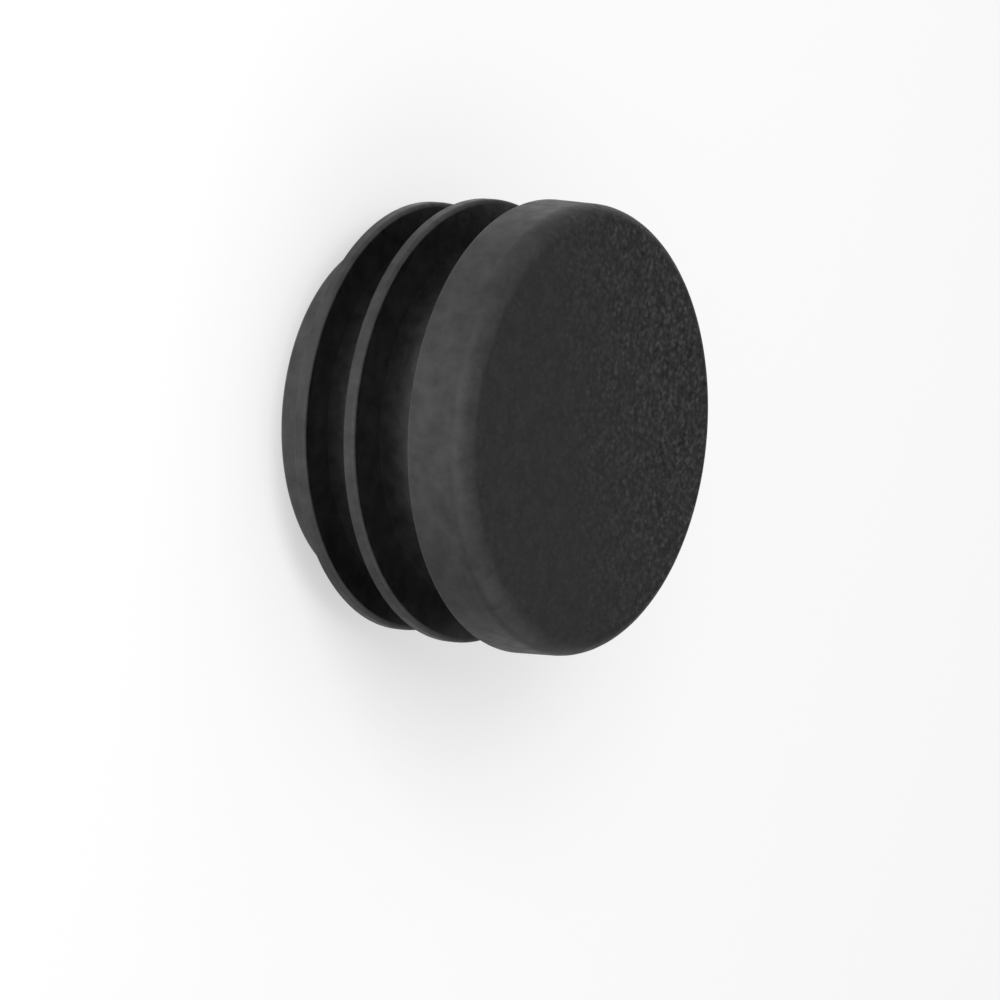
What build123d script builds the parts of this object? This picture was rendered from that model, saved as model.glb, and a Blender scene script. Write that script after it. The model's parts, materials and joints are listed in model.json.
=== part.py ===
from build123d import *

import os
from math import radians, tan

# Round ribbed end cap for a 32 mm tube, moulded in one piece. A solid head seats on the
# tube's end, and a hollow spigot with two flexible fins grips the tube's bore.
# The cap stands on the spigot's open end: the origin is the centre of that end's rim,
# +Z runs up the axis, out of the head's face. Millimetres and degrees.

# Head: the disc that stays outside the tube
head_diameter = 32.0  # over its back edge, flush with the outside of the tube
head_height = 4.85  # from the underside that meets the tube to the face
head_draft = 1.5  # the side leans in towards the face
face_edge_radius = 1.5  # soft rounded edge round the face

# Spigot: the hollow plug behind the head
spigot_diameter = 25.3  # where it leaves the head
spigot_draft = 1.0  # it narrows towards the open end
spigot_wall = 2.0  # at the open end
spigot_root_bevel = 0.4  # in the corner under the head
end_outer_bevel = 0.3  # lead-in round the open end
end_inner_bevel = 0.3

# Fins: one behind the other, the rear one smaller, so that the cap starts by hand
front_fin_diameter = 31.4
rear_fin_diameter = 30.4
fin_thickness = 0.9
fin_root_bevel = 0.3  # in the corners between a fin and the spigot
head_to_front_fin = 4.55  # clear gaps along the axis, and the plain end behind them
front_to_rear_fin = 3.6
rear_fin_to_end = 3.25

# Hollow: cored out from the open end, up into the head
face_wall = 2.6  # left under the face
core_draft = 1.0  # the hollow narrows towards its floor
core_floor_bevel = 0.75  # in the corner round the floor

# Heights up the axis, from the open end
rear_fin_back = rear_fin_to_end
rear_fin_front = rear_fin_back + fin_thickness
front_fin_back = rear_fin_front + front_to_rear_fin
front_fin_front = front_fin_back + fin_thickness
seat_height = front_fin_front + head_to_front_fin
face_height = seat_height + head_height
floor_height = face_height - face_wall


def spigot_radius(height):
    """The spigot's drafted outside, at a height up the axis."""
    return spigot_diameter / 2 - (seat_height - height) * tan(radians(spigot_draft))


def hollow_radius(height):
    """The hollow's drafted wall, at a height up the axis."""
    return spigot_radius(0) - spigot_wall - height * tan(radians(core_draft))


def fin_corners(fin_diameter, front, back):
    """A fin's section, out along its front and home along its back."""
    return [
        (spigot_radius(front), front, fin_root_bevel),
        (fin_diameter / 2, front, 0),
        (fin_diameter / 2, back, 0),
        (spigot_radius(back), back, fin_root_bevel),
    ]


def half_section():
    """Corners (radius, height, bevel) from the centre of the face round to the hollow."""
    face_radius = head_diameter / 2 - head_height * tan(radians(head_draft))
    return [
        (0, face_height, 0),
        (face_radius, face_height, 0),
        (head_diameter / 2, seat_height, 0),
        (spigot_radius(seat_height), seat_height, spigot_root_bevel),
        *fin_corners(front_fin_diameter, front_fin_front, front_fin_back),
        *fin_corners(rear_fin_diameter, rear_fin_front, rear_fin_back),
        (spigot_radius(0), 0, end_outer_bevel),
        (hollow_radius(0), 0, end_inner_bevel),
        (hollow_radius(floor_height), floor_height, core_floor_bevel),
        (0, floor_height, 0),
    ]


def bevelled(corners):
    """The outline's points, each corner that has a bevel giving way to the bevel's two ends."""
    sharp = [Vector(radius, height) for radius, height, bevel in corners]
    points = []
    for index, (radius, height, bevel) in enumerate(corners):
        corner = sharp[index]
        if bevel == 0:
            points.append(corner)
            continue
        for neighbour in (sharp[index - 1], sharp[index + 1]):
            side = neighbour - corner
            points.append(corner + side.normalized() * min(bevel, side.length / 3))
    return points


def end_cap():
    """The whole cap: its half-section turned once round the axis, then the face's edge."""
    outline = Polyline(*bevelled(half_section()), close=True)
    body = revolve(Plane.XZ * make_face(outline.edges()), Axis.Z, 360)
    rounding = min(face_edge_radius, head_height / 2)
    return fillet(body.edges().group_by(Axis.Z)[-1], rounding)


os.makedirs("parts", exist_ok=True)
export_step(end_cap(), "parts/end_cap.step")
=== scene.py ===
import json
from math import cos, pi, radians, sin, tan

import bmesh
import bpy
from mathutils import Matrix, Vector


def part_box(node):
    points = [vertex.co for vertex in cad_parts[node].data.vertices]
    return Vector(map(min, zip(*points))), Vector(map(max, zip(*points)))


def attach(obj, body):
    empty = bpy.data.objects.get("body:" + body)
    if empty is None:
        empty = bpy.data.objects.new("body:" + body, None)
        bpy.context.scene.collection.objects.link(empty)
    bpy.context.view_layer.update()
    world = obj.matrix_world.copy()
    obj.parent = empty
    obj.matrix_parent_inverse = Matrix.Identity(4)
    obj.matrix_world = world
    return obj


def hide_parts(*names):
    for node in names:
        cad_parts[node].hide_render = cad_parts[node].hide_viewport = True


# The dressed tube end cap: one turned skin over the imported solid, with the moulding's fine
# roundings and its grained black polyethylene, on a pale floor under soft light.
# Metres in the part's frame, unless a name says otherwise: the open end stands on z = 0.

MM = 0.001

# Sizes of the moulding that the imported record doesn't carry
HEAD_DRAFT_DEG = 1.5
SPIGOT_DIAMETER = 25.3 * MM
SPIGOT_DRAFT_DEG = 1.0
SPIGOT_WALL = 2.0 * MM
FACE_WALL = 2.6 * MM
CORE_DRAFT_DEG = 1.0

# Roundings
FACE_EDGE = 1.5 * MM
SEAT_EDGE = 0.25 * MM
SPIGOT_ROOT = 0.5 * MM
FIN_RIM_FRONT = 0.35 * MM
FIN_RIM_BACK = 0.03 * MM
FIN_ROOT = 0.004 * MM
END_OUTER = 0.3 * MM
END_INNER = 0.3 * MM
CORE_FLOOR = 1.0 * MM

# The skin's mesh
TURN_STEPS = 288  # round the axis
ROUNDING_STEP_DEG = 10.0  # along a rounding's arc
FEWEST_ROUNDING_STEPS = 2
CAP_RADIUS = 2.0 * MM  # the flat middle of the face and of the hollow's floor

# Black polyethylene: two shades and a gloss, clouded, and speckled on the moulded grain by painted
# light: paler, shinier peaks as painted highlights, darker, duller pits as painted shade
DARKER = (0.001, 0.001, 0.001, 1.0)
PALER = (0.030, 0.030, 0.030, 1.0)
IOR = 1.7
PLAIN_SHINE = 0.5  # the specular level of a skin with no grain or cloud
ROUGHNESS = (0.28, 0.42)
GLOSS_PATCH_SIZE = 0.9 * MM
GLOSS_DETAIL = 2.0
CLOUD_SIZE = 1.4 * MM
CLOUD_DETAIL = 3.0
CLOUD_SHADE = 0.15  # of the way from the darker shade to the paler
CLOUD_SHINE = 0.16
FACE_CLOUD = 0.5  # of the sides'

# The grain: pebbles with pits among them
GRAIN_STRETCH = (1.0, 0.75, 1.0)  # the grain is longer along Y
PEBBLE_SIZE = 0.45 * MM
PIT_SIZE = 0.31 * MM
PIT_DETAIL = 2.0
PIT_SHARE = 2.1  # of the pits' noise against the pebbles' height
GRAIN_DEPTH = 0.045 * MM
GRAIN_LEVEL = 0.5  # the height at which it leaves the shade and the shine as they are
GRAIN_PAINTED_LIGHT = 0.8  # how much paler its peaks are, a painted highlight, and darker its pits, painted shade
GRAIN_PAINTED_SHEEN = 0.38  # how much more its peaks shine than its pits: a painted sheen on the peaks, painted shade in the pits

# Where the grain is strong: on the face, in patches, and on the face's +Y side; its fading towards -Y
# is painted shade, as if light grazed only the +Y side
SIDE_GRAIN = 0.35  # of the face's
GRAIN_EDGE = 0.9 * MM  # below the face, where the grain is down to the side's
# Painted shade: the grain's bumps, paler peaks and shine fade towards this direction
GRAIN_SHADED_TOWARDS = (0.33, -0.94, 0.0)
SHADED_FACE_GRAIN, LIT_FACE_GRAIN = 0.15, 0.9
SIDE_SHADE_EDGE = (-10.0 * MM, 4.0 * MM)  # where the painted shade of the grain starts and is complete
GRAIN_PATCH_SIZE = 1.2 * MM
GRAIN_PATCH_DETAIL = 1.0
GRAIN_PATCHES = (0.55, 1.45)

# How the shader's nodes are used
NOISE_ROUGHNESS = 0.55
NOISE_RANGE = (0.3, 0.7)  # where nearly all of a noise lies
MIX_FIRST, MIX_SECOND, MIX_RESULT = 6, 7, 2  # a Mix node's colour sockets, by number

# Camera: it looks at the cap from in front of the head, tilted off the axis and rolled
CAMERA_LENS = 360.0
CAMERA_DISTANCE = 700.2 * MM
CAMERA_OFF_AXIS_DEG = 56.217
CAMERA_ROLL_DEG = 5.385
AIM_LEFT_OF_FACE = 6.487 * MM
AIM_BELOW_FACE = 4.813 * MM

# Light: the dome's strength, and the floor's whiteness to a gloss, by direction from the cap; the
# floor's is dimmer away from -Y, most towards +Y and +X, a painted shadow in what the cap reflects
DOME = {"-Y": 1.3, "+Y": 0.08, "-X": 0.65, "+X": 0.75, "+Z": 0.7, "-Z": 1.3}
FLOOR_GLEAM_AND_PAINTED_SHADOW = {"-Y": 1.0, "+Y": 0.3, "-X": 0.65, "+X": 0.4}
KEY_LAMP = {"azimuth": 335.0, "elevation": 45.0, "distance": 0.40, "size": 0.20, "watts": 0.9}

# Floor and backdrop
WHITE = (1.0, 1.0, 1.0, 1.0)
FLOOR_COLOUR = (0.92, 0.92, 0.92, 1.0)
FLOOR_SIZE = 8.0
FLOOR_GAP = 0.02 * MM  # so that the open end and the floor never share a plane
FLOOR_WHITE_SHARE = 0.5  # plain white in what a camera sees of it, the rest lit
FLOOR_HOLE_RADIUS = 10.0 * MM  # under the hollow, so that light from below reaches into it


def mount(record, name):
    return next(m for m in record["mounts"] if m["name"] == name)


def half_section(record):
    """The moulding's corners (radius, height, rounding) from the face's middle to the hollow's."""
    face_height = mount(record, "head_face")["pos_m"][2]
    seat_height = mount(record, "tube_end_seat")["pos_m"][2]
    head_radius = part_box("end_cap")[1].x
    floor_height = face_height - FACE_WALL
    face_radius = head_radius - (face_height - seat_height) * tan(radians(HEAD_DRAFT_DEG))

    def spigot_radius(height):
        return SPIGOT_DIAMETER / 2 - (seat_height - height) * tan(radians(SPIGOT_DRAFT_DEG))

    def hollow_radius(height):
        return spigot_radius(0) - SPIGOT_WALL - height * tan(radians(CORE_DRAFT_DEG))

    corners = [
        (CAP_RADIUS, face_height, 0),
        (face_radius, face_height, FACE_EDGE),
        (head_radius, seat_height, SEAT_EDGE),
        (spigot_radius(seat_height), seat_height, SPIGOT_ROOT),
    ]
    for name in ("front_fin_rim", "rear_fin_rim"):
        fin = mount(record, name)
        radius, thickness = fin["dims"]["r_mm"] * MM, fin["dims"]["length_mm"] * MM
        front = fin["pos_m"][2] + thickness / 2
        back = front - thickness
        corners += [
            (spigot_radius(front), front, FIN_ROOT),
            (radius, front, FIN_RIM_FRONT),
            (radius, back, FIN_RIM_BACK),
            (spigot_radius(back), back, FIN_ROOT),
        ]
    corners += [
        (spigot_radius(0), 0, END_OUTER),
        (hollow_radius(0), 0, END_INNER),
        (hollow_radius(floor_height), floor_height, CORE_FLOOR),
        (CAP_RADIUS, floor_height, 0),
    ]
    return corners


def left_of(direction):
    """The direction turned a quarter turn to the left: outward, as the section is followed."""
    return Vector((-direction.y, direction.x))


def rounded(corners):
    """The section's points with their outward normals, each rounding an arc of short chords."""
    points = [Vector((radius, height)) for radius, height, rounding in corners]
    ahead = [(b - a).normalized() for a, b in zip(points, points[1:])]
    section = [(points[0], left_of(ahead[0]))]
    for before, corner, after, (_, _, rounding) in zip(ahead, points[1:], ahead[1:], corners[1:]):
        turn = before.angle_signed(after)  # positive to the right, round an outer edge
        start_normal = left_of(before)
        start = corner - before * rounding * tan(abs(turn) / 2)
        reach = rounding if turn > 0 else -rounding
        centre = start - start_normal * reach
        steps = max(FEWEST_ROUNDING_STEPS, round(abs(turn) / radians(ROUNDING_STEP_DEG)))
        for step in range(steps + 1):
            normal = start_normal.copy()
            normal.rotate(Matrix.Rotation(-turn * step / steps, 2))
            section.append((centre + normal * reach, normal))
    section.append((points[-1], left_of(ahead[-1])))
    return section


def turned(name, section):
    """A mesh turned round the axis from a section of points and normals, closed by flat caps."""
    shape = bmesh.new()
    rings = []
    normals = []
    for point, normal in section:
        ring = []
        for step in range(TURN_STEPS):
            angle = 2 * pi * step / TURN_STEPS
            ring.append(shape.verts.new((point.x * cos(angle), point.x * sin(angle), point.y)))
            normals.append((normal.x * cos(angle), normal.x * sin(angle), normal.y))
        rings.append(ring)
    for inner, outer in zip(rings, rings[1:]):
        for step in range(TURN_STEPS):
            following = (step + 1) % TURN_STEPS
            shape.faces.new((inner[step], outer[step], outer[following], inner[following]))
    shape.faces.new(rings[0])
    shape.faces.new(reversed(rings[-1]))
    for face in shape.faces:
        face.smooth = True
    mesh = bpy.data.meshes.new(name)
    shape.to_mesh(mesh)
    shape.free()
    mesh.normals_split_custom_set_from_vertices(normals)
    made = bpy.data.objects.new(name, mesh)
    bpy.context.scene.collection.objects.link(made)
    return made


def add(tree, kind, links=(), **settings):
    """A new node with its properties set, and its inputs set or linked by name or number."""
    node = tree.nodes.new(kind)
    for name, value in settings.items():
        setattr(node, name, value)
    for socket, value in dict(links).items():
        if isinstance(value, bpy.types.NodeSocket):
            tree.links.new(value, node.inputs[socket])
        else:
            node.inputs[socket].default_value = value
    return node


def noise(tree, place, size, detail):
    """Noise with lumps of about the given size in metres."""
    settings = {"Vector": place, "Scale": 1 / size, "Detail": detail, "Roughness": NOISE_ROUGHNESS}
    return add(tree, "ShaderNodeTexNoise", settings).outputs["Fac"]


def spread(tree, value, low, high, start=NOISE_RANGE[0], end=NOISE_RANGE[1]):
    """A value between start and end carried to the range from low to high."""
    settings = {"Value": value, "From Min": start, "From Max": end, "To Min": low, "To Max": high}
    return add(tree, "ShaderNodeMapRange", settings).outputs["Result"]


def maths(tree, operation, first, second):
    return add(tree, "ShaderNodeMath", {0: first, 1: second}, operation=operation).outputs[0]


def blend(tree, first, first_share, second, second_share):
    """The sum of two values, each times its share."""
    parts = maths(tree, "MULTIPLY", first, first_share), maths(tree, "MULTIPLY", second, second_share)
    return maths(tree, "ADD", *parts)


def mixed(tree, share, first, second):
    """A colour on the way from the first to the second."""
    node = add(tree, "ShaderNodeMix", {"Factor": share}, data_type="RGBA")
    node.inputs[MIX_FIRST].default_value = first
    node.inputs[MIX_SECOND].default_value = second
    return node.outputs[MIX_RESULT]


def grain_height(tree, place):
    """How high the grain stands: round pebbles, with a finer noise of pits over them."""
    stretched = add(tree, "ShaderNodeVectorMath", {0: place, 1: GRAIN_STRETCH}, operation="MULTIPLY")
    stretched = stretched.outputs["Vector"]
    pebbles = add(tree, "ShaderNodeTexVoronoi", {"Vector": stretched, "Scale": 1 / PEBBLE_SIZE})
    pits = maths(tree, "MULTIPLY", noise(tree, stretched, PIT_SIZE, PIT_DETAIL), PIT_SHARE)
    return maths(tree, "SUBTRACT", pits, pebbles.outputs["Distance"])


def grain_strength(tree, place, height, face_height):
    """How strong the grain is: full on the face's +Y side, and weak towards -Y as painted shade, as if
    light grazed only the +Y side.
    """
    on_face = spread(tree, height, SIDE_GRAIN, 1.0, face_height - GRAIN_EDGE, face_height)
    toward = add(tree, "ShaderNodeVectorMath", {0: place, 1: GRAIN_SHADED_TOWARDS}, operation="DOT_PRODUCT")
    # Painted shade: the grain weakens towards -Y
    side_shade = spread(tree, toward.outputs["Value"], LIT_FACE_GRAIN, SHADED_FACE_GRAIN, *SIDE_SHADE_EDGE)
    patches = noise(tree, place, GRAIN_PATCH_SIZE, GRAIN_PATCH_DETAIL)
    patches = spread(tree, patches, *GRAIN_PATCHES)
    return maths(tree, "MULTIPLY", maths(tree, "MULTIPLY", on_face, side_shade), patches)


def cloudiness(tree, place, height, face_height):
    """Soft clouds over the skin, fainter on the face."""
    cloud = spread(tree, noise(tree, place, CLOUD_SIZE, CLOUD_DETAIL), 0.0, 1.0)
    calm = spread(tree, height, 1.0, FACE_CLOUD, face_height - FACE_EDGE, face_height)
    return maths(tree, "MULTIPLY", cloud, calm)


def black_polyethylene(face_height):
    """Black polyethylene from a spark-eroded mould: pebbled, most on the face, a little cloudy."""
    material = bpy.data.materials.new("black_polyethylene")
    material.use_nodes = True
    tree = material.node_tree
    place = add(tree, "ShaderNodeTexCoord").outputs["Object"]
    height = add(tree, "ShaderNodeSeparateXYZ", {0: place}).outputs["Z"]

    grain = grain_height(tree, place)
    strength = grain_strength(tree, place, height, face_height)
    raised = maths(tree, "MULTIPLY", maths(tree, "SUBTRACT", grain, GRAIN_LEVEL), strength)
    cloud = cloudiness(tree, place, height, face_height)
    bump = add(tree, "ShaderNodeBump", {"Height": grain, "Strength": strength, "Distance": GRAIN_DEPTH})
    # Painted light on the grain: peaks paler and shinier as painted highlights, pits darker and duller
    # as painted shade
    shade = blend(tree, raised, GRAIN_PAINTED_LIGHT, cloud, CLOUD_SHADE)
    shine = blend(tree, raised, GRAIN_PAINTED_SHEEN, cloud, CLOUD_SHINE)
    gloss = noise(tree, place, GLOSS_PATCH_SIZE, GLOSS_DETAIL)

    shader = tree.nodes["Principled BSDF"]
    shader.inputs["IOR"].default_value = IOR
    varied = {
        "Base Color": mixed(tree, shade, DARKER, PALER),
        "Roughness": spread(tree, gloss, *ROUGHNESS),
        "Specular IOR Level": maths(tree, "ADD", shine, PLAIN_SHINE - CLOUD_SHINE / 2),
        "Normal": bump.outputs["Normal"],
    }
    for socket, value in varied.items():
        tree.links.new(value, shader.inputs[socket])
    return material


def by_direction(tree, towards, strengths):
    """A strength that changes smoothly with direction, from its values along the axes."""
    parts = add(tree, "ShaderNodeSeparateXYZ", {0: towards})
    total = 0.0
    for axis, strength in strengths.items():
        sign = 1.0 if axis[0] == "+" else -1.0
        along = maths(tree, "MAXIMUM", maths(tree, "MULTIPLY", parts.outputs[axis[1]], sign), 0.0)
        share = maths(tree, "MULTIPLY", maths(tree, "MULTIPLY", along, along), strength)
        total = maths(tree, "ADD", total, share)
    return total


def floor_material():
    """Pale and lit, partly plain white to a camera, and a gleam by direction to a gloss, dimmer away
    from -Y as a painted shadow in what the cap reflects.

    A camera below sees through it, and light from below passes under the hollow.
    """
    material = bpy.data.materials.new("pale_floor")
    material.use_nodes = True
    tree = material.node_tree
    place = add(tree, "ShaderNodeTexCoord").outputs["Object"]
    path = add(tree, "ShaderNodeLightPath").outputs
    behind = add(tree, "ShaderNodeNewGeometry").outputs["Backfacing"]

    lit = tree.nodes["Principled BSDF"]
    lit.inputs["Base Color"].default_value = FLOOR_COLOUR
    lit.inputs["Roughness"].default_value = 1.0
    lit.inputs["Specular IOR Level"].default_value = 0.0
    white = add(tree, "ShaderNodeEmission", {"Color": WHITE, "Strength": 1.0})
    outward = add(tree, "ShaderNodeVectorMath", {0: place}, operation="NORMALIZE").outputs["Vector"]
    # Painted shadow: the gleam that the cap reflects is dimmer away from -Y, most towards +Y and +X
    gleam_and_painted_shadow = by_direction(tree, outward, FLOOR_GLEAM_AND_PAINTED_SHADOW)
    gleam = add(tree, "ShaderNodeEmission", {"Color": WHITE, "Strength": gleam_and_painted_shadow})
    clear = add(tree, "ShaderNodeBsdfTransparent")

    look = maths(tree, "MULTIPLY", path["Is Camera Ray"], FLOOR_WHITE_SHARE)
    mirrored = maths(tree, "MAXIMUM", path["Is Glossy Ray"], path["Is Transmission Ray"])
    from_below = maths(tree, "MULTIPLY", behind, path["Is Camera Ray"])
    off_axis = add(tree, "ShaderNodeVectorMath", {0: place}, operation="LENGTH").outputs["Value"]
    in_hole = maths(tree, "LESS_THAN", off_axis, FLOOR_HOLE_RADIUS)
    opened = maths(tree, "MAXIMUM", from_below, in_hole)

    surface = lit.outputs[0]
    for share, shader in ((look, white), (mirrored, gleam), (opened, clear)):
        surface = add(tree, "ShaderNodeMixShader", {0: share, 1: surface, 2: shader.outputs[0]})
        surface = surface.outputs[0]
    tree.links.new(surface, tree.nodes["Material Output"].inputs["Surface"])
    return material


def pale_floor():
    bpy.ops.mesh.primitive_plane_add(size=FLOOR_SIZE, location=(0, 0, -FLOOR_GAP))
    floor = bpy.context.object
    floor.name = "floor"
    floor.data.materials.append(floor_material())
    return floor


def soft_lamp(name, azimuth, elevation, distance, size, watts):
    """A square area lamp that faces the cap and isn't mirrored in it.

    Azimuth 0 degrees is in front, towards -Y, and 90 is +X.
    """
    turn, rise = radians(azimuth), radians(elevation)
    towards = Vector((sin(turn) * cos(rise), -cos(turn) * cos(rise), sin(rise)))
    data = bpy.data.lights.new(name, "AREA")
    data.size = size
    data.energy = watts
    lamp = bpy.data.objects.new(name, data)
    lamp.location = towards * distance
    lamp.rotation_mode = "QUATERNION"
    lamp.rotation_quaternion = towards.to_track_quat("Z", "Y")
    lamp.visible_glossy = False
    bpy.context.scene.collection.objects.link(lamp)


def make_world():
    """A soft dome, bright in front and dim behind, and plain white to a camera."""
    world = bpy.data.worlds.new("studio")
    bpy.context.scene.world = world
    world.use_nodes = True
    tree = world.node_tree
    dome = tree.nodes["Background"]
    dome.inputs["Color"].default_value = WHITE
    towards = add(tree, "ShaderNodeTexCoord").outputs["Generated"]
    tree.links.new(by_direction(tree, towards, DOME), dome.inputs["Strength"])
    white = add(tree, "ShaderNodeBackground", {"Color": WHITE, "Strength": 1.0})
    looks = add(tree, "ShaderNodeLightPath").outputs["Is Camera Ray"]
    shaders = {0: looks, 1: dome.outputs[0], 2: white.outputs[0]}
    seen = add(tree, "ShaderNodeMixShader", shaders).outputs[0]
    tree.links.new(seen, tree.nodes["World Output"].inputs["Surface"])


def make_camera(face_height):
    """A long lens tilted off the axis, then rolled, with the face right of its middle and above."""
    tilt, roll = radians(CAMERA_OFF_AXIS_DEG), radians(CAMERA_ROLL_DEG)
    ahead = Vector((0, sin(tilt), -cos(tilt)))
    level = Vector((0, cos(tilt), sin(tilt)))
    side = Vector((-1, 0, 0))
    right = level * cos(roll) + side * sin(roll)
    down = level * sin(roll) - side * cos(roll)
    aim = Vector((0, 0, face_height)) - right * AIM_LEFT_OF_FACE + down * AIM_BELOW_FACE
    data = bpy.data.cameras.new("camera")
    data.lens = CAMERA_LENS
    camera = bpy.data.objects.new("camera", data)
    columns = Matrix((right, -down, -ahead)).transposed()
    camera.matrix_world = Matrix.Translation(aim - ahead * CAMERA_DISTANCE) @ columns.to_4x4()
    bpy.context.scene.collection.objects.link(camera)
    bpy.context.scene.camera = camera


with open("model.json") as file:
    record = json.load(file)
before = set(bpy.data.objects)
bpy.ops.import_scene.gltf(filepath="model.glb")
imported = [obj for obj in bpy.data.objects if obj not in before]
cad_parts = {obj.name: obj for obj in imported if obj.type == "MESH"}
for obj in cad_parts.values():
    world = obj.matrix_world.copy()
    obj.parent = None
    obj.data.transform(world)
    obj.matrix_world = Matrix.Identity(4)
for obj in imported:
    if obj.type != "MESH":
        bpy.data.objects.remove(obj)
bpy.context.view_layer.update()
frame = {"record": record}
face_height = mount(frame["record"], "head_face")["pos_m"][2]

cap = turned("moulded_cap", rounded(half_section(frame["record"])))
cap.data.materials.append(black_polyethylene(face_height))
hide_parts("end_cap")
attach(cap, "root")

pale_floor()
soft_lamp("key_lamp", **KEY_LAMP)
make_world()
make_camera(face_height)
bpy.context.scene.view_settings.view_transform = "Standard"
